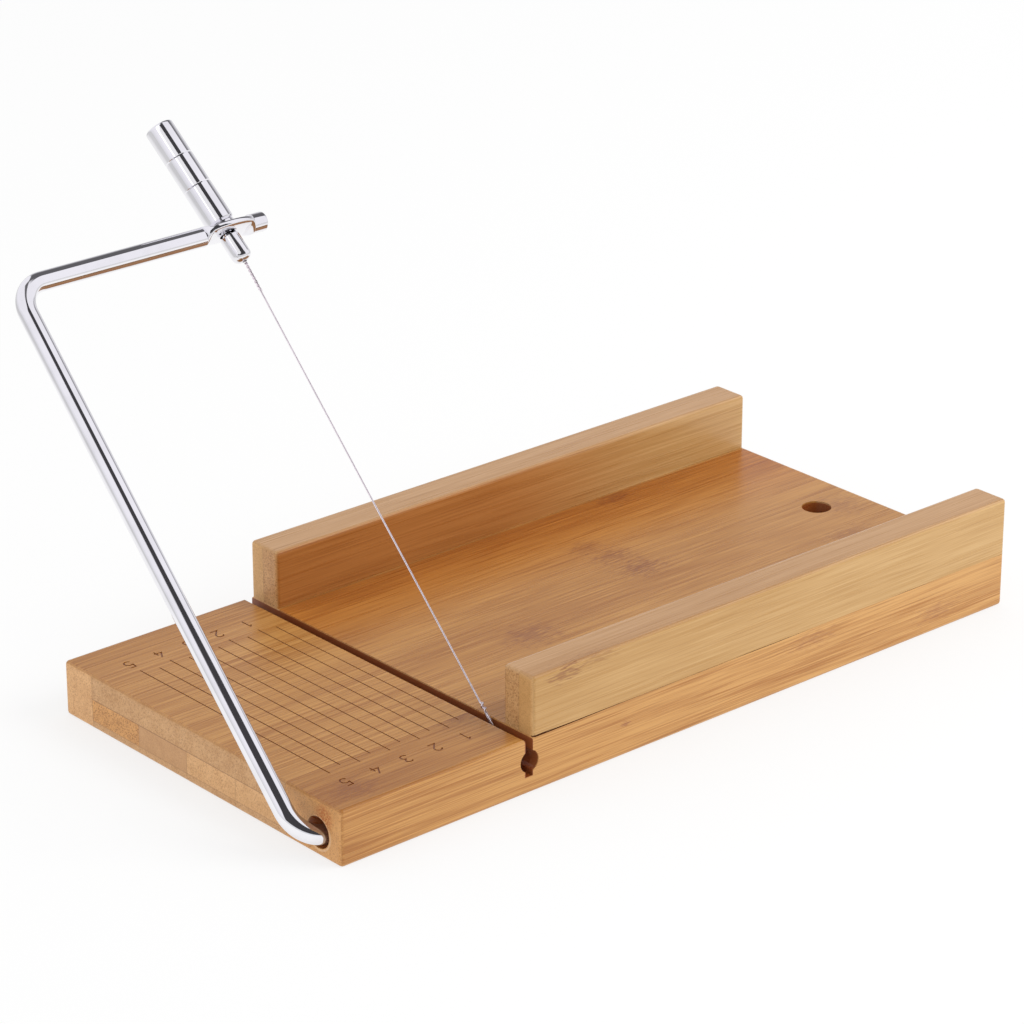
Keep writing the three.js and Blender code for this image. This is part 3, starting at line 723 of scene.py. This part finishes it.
def tube(name, path, radius, material, sides):
    """A round strand along a path, with domed ends."""
    path = [Vector(point) for point in path]
    tangents = []
    for i, point in enumerate(path):
        before = path[max(i - 1, 0)]
        after = path[min(i + 1, len(path) - 1)]
        tangents.append((after - before).normalized())
    side = tangents[0].orthogonal().normalized()
    rings = []

    def ring(centre, size, tangent):
        up = tangent.cross(side).normalized()
        return [
            centre + (side * math.cos(2 * math.pi * k / sides)
                      + up * math.sin(2 * math.pi * k / sides)) * size
            for k in range(sides)
        ]

    dome = ((0.9, 0.25), (0.5, 0.75))
    for shift, share in dome:
        rings.append(ring(path[0] - tangents[0] * radius * shift, radius * share, tangents[0]))
    for point, tangent in zip(path, tangents):
        side = (side - tangent * side.dot(tangent)).normalized()
        rings.append(ring(point, radius, tangent))
    for shift, share in reversed(dome):
        rings.append(ring(path[-1] + tangents[-1] * radius * shift, radius * share, tangents[-1]))
    points, faces = rings_to_mesh(rings)
    return make_piece(name, points, faces, material)


# ---------------------------------------------------------------- arm rod

ROD_RADIUS = 2.7
BAR_X = box_mm("arm_rod")[0].x + ROD_RADIUS
LEG_END_X = END_X + 78.3
LOWER_BEND = 9.5
UPPER_BEND = 8.0
STUB_END_X = END_X + 75.2
LEAF_CENTRE_X = END_X + 62.6
LEAF_HALF_LENGTH = 8.1
LEAF_HALF_WIDTH = 5.8
LEAF_HALF_THICKNESS = 1.2
LEAF_SQUARENESS = 1.5
GROOVE_RADIUS = 1.6
GROOVE_HALF_WIDTH = 0.85
GROOVE_SLOPE = 0.15
ROD_CHAMFER = 0.5
ROD_SIDES = 64
BEND_STEPS = 28
LEAF_STEPS = 72


def smooth_step(value, low, high):
    share = min(max((value - low) / (high - low), 0), 1)
    return share * share * (3 - 2 * share)


def leaf_section(x):
    """Half thickness, half width and squareness of the rod at a place along the top arm."""
    s = (x - LEAF_CENTRE_X) / LEAF_HALF_LENGTH
    if abs(s) >= 1:
        return ROD_RADIUS, ROD_RADIUS, 2.0
    press = 1 - smooth_step(abs(s), 0.78, 1)
    thick = ROD_RADIUS + (LEAF_HALF_THICKNESS - ROD_RADIUS) * press
    wide = ROD_RADIUS + (LEAF_HALF_WIDTH - ROD_RADIUS) * math.sqrt(1 - s * s)
    return thick, wide, 2 + LEAF_SQUARENESS * press


def rod_stations():
    """Sections along the rod as (x, reach, heading, half thickness, half width, squareness)."""
    stations = []

    def add(x, reach, heading, thick=ROD_RADIUS, wide=ROD_RADIUS, square=2.0):
        stations.append((x, reach, heading, thick, wide, square))

    # The pivot leg's rounded end, then the groove for the wire's noose
    outward = math.pi
    for i in range(4):
        a = i / 3 * math.pi / 2
        size = ROD_RADIUS - ROD_CHAMFER * (1 - math.sin(a))
        add(LEG_END_X - ROD_CHAMFER * (1 - math.cos(a)), 0, outward, size, size)
    floor_edge = GROOVE_HALF_WIDTH - GROOVE_SLOPE
    for edge, size in ((GROOVE_HALF_WIDTH, ROD_RADIUS), (floor_edge, GROOVE_RADIUS),
                       (-floor_edge, GROOVE_RADIUS), (-GROOVE_HALF_WIDTH, ROD_RADIUS)):
        add(kerf_middle + edge, 0, outward, size, size)

    # Two bends with the bar between them, the leaf, and the stub's rounded end
    for i in range(BEND_STEPS + 1):
        a = i / BEND_STEPS * math.pi / 2
        add(BAR_X + LOWER_BEND * (1 - math.sin(a)), LOWER_BEND * (1 - math.cos(a)), outward - a)
    for i in range(BEND_STEPS + 1):
        a = i / BEND_STEPS * math.pi / 2
        add(BAR_X + UPPER_BEND * (1 - math.cos(a)), REACH - UPPER_BEND * (1 - math.sin(a)),
            math.pi / 2 - a)
    for i in range(LEAF_STEPS + 1):
        x = LEAF_CENTRE_X - LEAF_HALF_LENGTH * math.cos(i / LEAF_STEPS * math.pi)
        add(x, REACH, 0, *leaf_section(x))
    for i in range(5):
        a = i / 4 * math.pi / 2
        size = ROD_RADIUS - ROD_CHAMFER * (1 - math.cos(a))
        add(STUB_END_X - ROD_CHAMFER * (1 - math.sin(a)), REACH, 0, size, size)
    return stations


def arm_point(x, reach, square):
    """A point given by its place along the board, its reach up the arm from the pivot's axis and
    its distance square to both."""
    return Vector((x, PIVOT.y, PIVOT.z)) + REACH_AXIS * reach + SQUARE_AXIS * square


def rod_piece():
    rings = []
    for x, reach, heading, thick, wide, square in rod_stations():
        ring = []
        for k in range(ROD_SIDES):
            angle = 2 * math.pi * k / ROD_SIDES
            c, s = math.cos(angle), math.sin(angle)
            in_plane = math.copysign(abs(c) ** (2 / square), c) * thick
            across = math.copysign(abs(s) ** (2 / square), s) * wide
            ring.append(arm_point(x + math.sin(heading) * in_plane,
                                  reach - math.cos(heading) * in_plane, across))
        rings.append(ring)
    points, faces = rings_to_mesh(rings)
    return make_piece("bent_arm_rod", points, faces, rod_steel)


EYE_RADIUS = 2.35
SPOT_FACE_RADIUS = 4.2
SPOT_FACE_HEIGHT = 0.9
CUTTER_REACH = 6
lean_frame = axes_matrix(EYE, LEAN)


def round_cutter(name, radius, low):
    """A plug on the handle's axis, from low to well above the leaf."""
    return turned(name, [(radius, low), (radius, CUTTER_REACH)], lean_frame, rod_steel)


rod = rod_piece()
carve(rod, round_cutter("eye_cutter", EYE_RADIUS, -CUTTER_REACH),
      round_cutter("spot_cutter", SPOT_FACE_RADIUS, SPOT_FACE_HEIGHT))
stand_in(rod, "arm_rod", "arm")


# ---------------------------------------------------------------- tensioner

WASHER_BASE = SPOT_FACE_HEIGHT + 0.02
WASHER_TOP = 2.05
WASHER_RADIUS = 3.75
WASHER_EASE = 0.15
HANDLE_BASE = 2.1
HANDLE_TOP = 34.35
HANDLE_RADIUS = 4.08
HANDLE_GROOVES = (14.3, 23.75)
GRIP_GROOVE = 0.22
HANDLE_ROUND = 0.6
HANDLE_CROWN = 0.012
HANDLE_BORE_TOP = 24.5
STUD_RADIUS = 2.8
STUD_SHOULDER = -1.8
STUD_TIP = -9.9
STUD_DOME = 2.1
STUD_ROUND_STEPS = 8
STUD_BORE = 0.75
STUD_BORE_TOP = -3
THREAD_RADIUS = 2.0
THREAD_START = 1.5
THREAD_TOP = 20.0
THREAD_PITCH = 0.7
THREAD_DEPTH = 0.35
FLAT_DEPTH = 0.7
FLAT_END = -5.6


def washer_piece():
    ease = WASHER_EASE
    inner = EYE_RADIUS
    profile = [
        (inner, WASHER_BASE + ease), (inner + ease, WASHER_BASE),
        (WASHER_RADIUS - ease, WASHER_BASE), (WASHER_RADIUS, WASHER_BASE + ease),
        (WASHER_RADIUS, WASHER_TOP - ease), (WASHER_RADIUS - ease, WASHER_TOP),
        (inner + ease, WASHER_TOP), (inner, WASHER_TOP - ease),
    ]
    return turned("turned_thrust_washer", profile, lean_frame, stud_steel,
                  looped=True)


def handle_piece():
    """The grip: crowned lengths between fine grooves, bored from below for the stud."""
    lip = HANDLE_RADIUS - 0.06
    edge = HANDLE_RADIUS - HANDLE_CROWN
    bounds = [HANDLE_BASE + 0.85, *HANDLE_GROOVES, HANDLE_TOP - 0.7]
    profile = [(EYE_RADIUS, HANDLE_BORE_TOP), (EYE_RADIUS, HANDLE_BASE + 0.3),
               (EYE_RADIUS + 0.3, HANDLE_BASE), (HANDLE_RADIUS - 0.75, HANDLE_BASE),
               (HANDLE_RADIUS - 0.55, HANDLE_BASE + 0.08)]
    lengths = len(bounds) - 1
    for i in range(lengths):
        first, last = i == 0, i == lengths - 1
        low = bounds[i] + (0 if first else GRIP_GROOVE)
        high = bounds[i + 1] - (0 if last else GRIP_GROOVE)
        if not first:
            profile += [(HANDLE_RADIUS - GRIP_GROOVE, bounds[i]), (lip, low - 0.04)]
        for k in range(9):
            share = k / 8
            crown = HANDLE_CROWN * (1 - (2 * share - 1) ** 2)
            profile.append((edge + crown, low + (high - low) * share))
        if not last:
            profile.append((lip, high + 0.04))
    for k in range(1, 7):
        a = k / 6 * math.pi / 2
        profile.append((edge - HANDLE_ROUND * (1 - math.cos(a)),
                        HANDLE_TOP - HANDLE_ROUND * (1 - math.sin(a))))
    return turned("turned_handle", profile, lean_frame, turned_steel)


def stud_piece():
    """The knob under the eye, bored for the wire, and the screw above it."""
    root = THREAD_RADIUS - THREAD_DEPTH
    profile = [(STUD_BORE, STUD_BORE_TOP), (STUD_BORE, STUD_TIP + 0.2),
               (STUD_BORE + 0.2, STUD_TIP)]
    for i in range(STUD_ROUND_STEPS + 1):
        a = i / STUD_ROUND_STEPS * math.pi / 2
        profile.append((STUD_RADIUS - STUD_DOME * (1 - math.sin(a)),
                        STUD_TIP + STUD_DOME * (1 - math.cos(a))))
    profile += [(STUD_RADIUS, STUD_SHOULDER - 0.2), (STUD_RADIUS - 0.2, STUD_SHOULDER),
                (root, STUD_SHOULDER)]
    height = THREAD_START
    while height < THREAD_TOP - THREAD_PITCH:
        profile += [(root, height), (THREAD_RADIUS, height + THREAD_PITCH / 2)]
        height += THREAD_PITCH
    profile += [(root, height), (THREAD_RADIUS - 0.6, THREAD_TOP)]
    return turned("turned_tension_stud", profile, lean_frame, stud_steel)


def flat_cutter(side_vector):
    """A block that mills one flat on the stud, ending in a run-out towards the tip."""
    outward = (side_vector - LEAN * side_vector.dot(LEAN)).normalized()
    sideways = LEAN.cross(outward)
    inner = STUD_RADIUS - FLAT_DEPTH
    outline = [(inner, 0.5), (inner, FLAT_END), (inner + 0.25, FLAT_END - 0.5),
               (STUD_RADIUS + 1, FLAT_END - 1.1), (STUD_RADIUS + 1, 0.5)]
    rings = [[EYE + outward * out + LEAN * height + sideways * across for out, height in outline]
             for across in (-CUTTER_REACH, CUTTER_REACH)]
    points, faces = rings_to_mesh(rings)
    return make_piece("flat_cutter", points, faces, stud_steel)


stand_in(washer_piece(), "thrust_washer", "arm")

handle = handle_piece()
stand_in(handle, "handle", "handle")

stud = stud_piece()
carve(stud, flat_cutter(-ALONG - SQUARE_AXIS * 0.2))
stand_in(stud, "tension_stud", "stud")


# ---------------------------------------------------------------- wire

WIRE_RADIUS = 0.25
LOOP_RADIUS = 1.93
KNOT_START = 15.0
KNOT_END = 17.4
TOP_TWIST = 9.5
TOP_PITCH = 2.4
TWIST_PITCH = 1.5
TWIST_GAP = 0.6
PAIR_OFFSET = 0.22
COIL_STEPS_A_TURN = 14
NOOSE_END = math.radians(335)
NOOSE_STEPS = 40
BORE_PLACES = (-5.7, -7, -8.5, STUD_TIP + 0.3)

# From the noose back to the knot, as (reach, square) on the arm
TAIL_PLACES = ((2.15, -0.35), (2.5, -0.12), (3.2, -0.05), (5, 0.0), (7, 0.15), (9, 0.42),
               (11, 0.8), (12.8, 1.15))


def wire_pieces():
    """The strand with its noose and knot, and the short end twisted round it below the stud."""
    mouth = EYE + LEAN * STUD_TIP
    foot = arm_point(kerf_middle, 0, LOOP_RADIUS)
    line = (mouth - foot).normalized()
    span = (mouth - foot).length
    side = line.orthogonal().normalized()
    up = line.cross(side)

    def at(distance):
        return foot + line * distance

    def coil(start, end, radius, pitch, turn, tail):
        """Points of a strand wound round the wire's line, ending wider by tail."""
        steps = int(abs(end - start) / pitch * COIL_STEPS_A_TURN)
        found = []
        for i in range(steps + 1):
            share = i / steps
            angle = turn + 2 * math.pi * abs(end - start) * share / pitch
            size = radius + tail * smooth_step(share, 0.94, 1)
            found.append(at(start + (end - start) * share)
                         + side * math.cos(angle) * size + up * math.sin(angle) * size)
        return found

    # The main strand: out of the stud's bore, down to the rod, round it and back up to the knot
    twist = (span - TWIST_GAP, span - TOP_TWIST, PAIR_OFFSET, TOP_PITCH)
    main = [EYE + LEAN * height for height in BORE_PLACES]
    main += coil(*twist, 0.0, -PAIR_OFFSET)
    main += [at(span - TOP_TWIST - 4)]
    main += coil(KNOT_END, KNOT_START, PAIR_OFFSET, TWIST_PITCH, math.pi, -PAIR_OFFSET)
    main += [at(8), at(3)]
    for i in range(NOOSE_STEPS + 1):
        a = math.pi / 2 + i / NOOSE_STEPS * (NOOSE_END - math.pi / 2)
        main.append(arm_point(kerf_middle, LOOP_RADIUS * math.cos(a), LOOP_RADIUS * math.sin(a)))
    main += [arm_point(kerf_middle, reach, square) for reach, square in TAIL_PLACES]
    main += coil(KNOT_START, KNOT_END, 1.6 * WIRE_RADIUS, TWIST_PITCH, -math.pi / 2, 0.2)
    top_tail = coil(*twist, math.pi, 0.1)
    strand = tube("cutting_wire_strand", main, WIRE_RADIUS, wire_steel, 12)
    tail = tube("wire_tail", top_tail, WIRE_RADIUS, wire_steel, 10)
    return strand, tail


strand, tail = wire_pieces()
stand_in(strand, "cutting_wire", "arm")
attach(tail, "arm")


# ---------------------------------------------------------------- rail screws

SHANK_RADIUS = 1.5
SHANK_TOP = 8.0
SCREW_PITCH = 1.3
SCREW_THREAD_DEPTH = 0.45
SCREW_POINT = 4
RECESS_TURN = 0.6

# The cross recess narrows with depth, as (depth, half length, half width)
RECESS = ((-0.5, 2.0, 0.42), (0.2, 1.9, 0.38), (1.5, 0.5, 0.25))
CORNERS = ((-1, -1), (1, -1), (1, 1), (-1, 1))


def screw_piece(node):
    """A countersunk wood screw with a thread and a cross recess, point upwards."""
    low, high = box_mm(node)
    radius = (high.x - low.x) / 2
    length = high.z - low.z
    shank = SHANK_RADIUS
    root = shank - SCREW_THREAD_DEPTH
    centre = Vector(((low.x + high.x) / 2, (low.y + high.y) / 2, low.z))
    profile = [(radius - 0.25, 0), (radius, 0.15), (radius, 0.35), (shank, 2.4),
               (shank - 0.3, 2.6), (shank - 0.3, SHANK_TOP)]
    height = SHANK_TOP
    while height < length - SCREW_POINT:
        profile += [(root, height + 0.1), (shank, height + 0.45), (root, height + 0.8)]
        height += SCREW_PITCH
    profile += [(shank - 0.5, length - 3.4), (0.15, length - 0.1), (0.05, length)]
    screw = turned("threaded_" + node, profile, Matrix.Translation(centre), zinc_steel, 48)
    for turn in (RECESS_TURN, RECESS_TURN + math.pi / 2):
        out = Vector((math.cos(turn), math.sin(turn), 0))
        wing = Vector((-out.y, out.x, 0))
        rings = [[centre + Vector((0, 0, depth)) + out * a * arm + wing * b * half
                  for a, b in CORNERS] for depth, arm, half in RECESS]
        points, faces = rings_to_mesh(rings)
        carve(screw, make_piece("recess_cutter", points, faces, zinc_steel))
    return screw


for side_name in ("near", "far"):
    for number in (1, 2, 3):
        node_name = f"{side_name}_rail_screw_{number}"
        stand_in(screw_piece(node_name), node_name, "board")


# ---------------------------------------------------------------- floor

FLOOR_SIZE = 8000
FLOOR_DROP = 0.05
FLOOR_WHITE = (0.9, 0.9, 0.9, 1)
FLOOR_GLOW = 1.02
GLOW_SHARE = 0.72
DIM_RADII = (260, 520)
DIM_SHARE = 0.42


def floor_material():
    """White paper lit from below. Seen in a mirror, it is dimmer away from the object."""
    material, net = new_material("studio_floor")
    paper = net.node("BsdfDiffuse", {"Color": FLOOR_WHITE})
    place, _ = place_mm(net)
    away = net.ramp(net.vector("LENGTH", place), *DIM_RADII)
    strength = net.math("SUBTRACT", FLOOR_GLOW, net.times(away, net.in_mirror(), DIM_SHARE))
    glow = net.node("Emission", {"Color": (1, 1, 1, 1), "Strength": strength})
    blend = net.node("MixShader", {0: GLOW_SHARE, 1: paper.outputs[0], 2: glow.outputs[0]})
    net.node("OutputMaterial", {"Surface": blend.outputs[0]})
    return material


floor_corners = [(a * FLOOR_SIZE / 2, b * FLOOR_SIZE / 2, -FLOOR_DROP) for a, b in CORNERS]
make_piece("studio_floor", floor_corners, [(0, 1, 2, 3)], floor_material())


# ---------------------------------------------------------------- what the steel mirrors

# Angles in degrees. Azimuths are measured from +Y towards +X, or from the opposite direction
# for the patches round the lens.
WHITE_ABOVE = (0.93, 0.92, 0.96, 1)
WHITE_LOW_LEFT = (0.78, 0.78, 0.81, 1)
ROOM_DARK = (0.012, 0.01, 0.012, 1)
DIFFUSE_ZENITH = (0.8, 0.8, 0.8, 1)
GAP_AZIMUTHS = (22, 96)
GAP_RISE = (-8, 38)
GAP_FALL = (78, 66)
GAP_DARKNESS = 0.88
LENS_EDGE_SUM = 102.5
LENS_LEFT_LIMIT = 67
LENS_ELEVATIONS = (8, 76)
LENS_DARKNESS = 0.955
BRIDGE_SQUARE = (0.985, -0.174, 0)
BRIDGE_HALF_WIDTHS = (0.16, 0.1)
BRIDGE_RISE = (62, 66)
BRIDGE_DARKNESS = 0.85


def world_light():
    """White all round for the camera and for diffuse light. Mirrors also see what the soft boxes
    leave open: a dark gap behind the object, the dark room round the lens, and a narrow dark
    bridge overhead between the two."""
    world = bpy.data.worlds.new("studio")
    SCENE.world = world
    world.use_nodes = True
    net = Net(world.node_tree)
    ray = net.node("TexCoord").outputs["Generated"]
    axes = net.parts(ray)

    def degrees(value):
        return net.times(value, 180 / math.pi)

    azimuth = degrees(net.math("ARCTAN2", axes["X"], axes["Y"]))
    opposite = net.math("ARCTAN2", net.times(axes["X"], -1), net.times(axes["Y"], -1))
    from_front = degrees(opposite)
    elevation = degrees(net.math("ARCSINE", axes["Z"]))

    gap = net.times(net.window(azimuth, *GAP_AZIMUTHS, 1.5), net.ramp(elevation, *GAP_RISE),
                    GAP_DARKNESS, net.ramp(elevation, *GAP_FALL))

    left_edge = net.math("SUBTRACT", LENS_EDGE_SUM, elevation)
    left_edge = net.math("MINIMUM", left_edge, LENS_LEFT_LIMIT)
    inside_left = net.ramp(net.math("SUBTRACT", left_edge, from_front), -2, 2)
    right_edge = net.ramp(elevation, 59, 52, -10.0, -30.0)
    inside_right = net.ramp(net.math("SUBTRACT", from_front, right_edge), -2, 2)
    lens = net.times(inside_left, inside_right, net.window(elevation, *LENS_ELEVATIONS, 2.0),
                     LENS_DARKNESS)

    sideways = net.absolute(net.vector("DOT_PRODUCT", ray, BRIDGE_SQUARE))
    bridge = net.times(net.ramp(sideways, *BRIDGE_HALF_WIDTHS),
                       net.ramp(elevation, *BRIDGE_RISE), BRIDGE_DARKNESS)

    dark = net.math("MAXIMUM", net.math("MAXIMUM", gap, lens), bridge)
    low_left = net.times(net.ramp(elevation, 22, -2), net.ramp(azimuth, 10, -20))
    white = net.mix(low_left, WHITE_ABOVE, WHITE_LOW_LEFT)
    mirrored = net.mix(dark, white, ROOM_DARK)
    overhead = net.mix(net.ramp(elevation, 10, 50), (1, 1, 1, 1), DIFFUSE_ZENITH)
    seen = net.mix(net.in_mirror(), overhead, mirrored)
    background = net.node("Background", {"Color": seen, "Strength": 1.0})
    net.node("OutputWorld", {"Surface": background.outputs[0]})


world_light()


# ---------------------------------------------------------------- lamps and camera


def direction(azimuth, elevation):
    a, e = math.radians(azimuth), math.radians(elevation)
    return Vector((math.sin(a) * math.cos(e), math.cos(a) * math.cos(e), math.sin(e)))


def soft_light(name, towards, distance, size, power, mirrored_by=None):
    """A round soft box aimed at the origin, given by azimuth and elevation. It lights everything,
    or it is only a reflection on the objects of one collection."""
    lamp = bpy.data.lights.new(name, "AREA")
    lamp.shape = "DISK"
    lamp.size = size * MM
    lamp.energy = power
    light = bpy.data.objects.new(name, lamp)
    SCENE.collection.objects.link(light)
    out = direction(*towards)
    turn = out.to_track_quat("Z", "Y").to_matrix().to_4x4()
    light.matrix_world = Matrix.Translation(out * distance * MM) @ turn
    light.visible_glossy = mirrored_by is not None
    light.visible_diffuse = mirrored_by is None
    if mirrored_by:
        light.light_linking.receiver_collection = mirrored_by


turned_parts = bpy.data.collections.new("turned_parts")
turned_parts.objects.link(handle)
turned_parts.objects.link(stud)

soft_light("front_soft_box", (140, 38), 1500, 1100, 9)
soft_light("back_sheen_box", (41, 27), 2500, 3000, 7, wood)
soft_light("grip_soft_box", (237, 40), 3000, 1950, 8, turned_parts)

SCENE.view_settings.view_transform = "Standard"
SCENE.view_settings.look = "None"

CAMERA_PLACE = Vector((-689.1, -771.4, 486.2))
CAMERA_FORWARD = Vector((0.606, 0.6917, -0.3929))

camera_data = bpy.data.cameras.new("camera")
camera_data.lens = 143.0
camera_data.sensor_width = 36.0
camera_data.clip_end = 20
camera = bpy.data.objects.new("camera", camera_data)
SCENE.collection.objects.link(camera)
camera_turn = CAMERA_FORWARD.to_track_quat("-Z", "Y").to_matrix().to_4x4()
camera.matrix_world = Matrix.Translation(CAMERA_PLACE * MM) @ camera_turn
SCENE.camera = camera
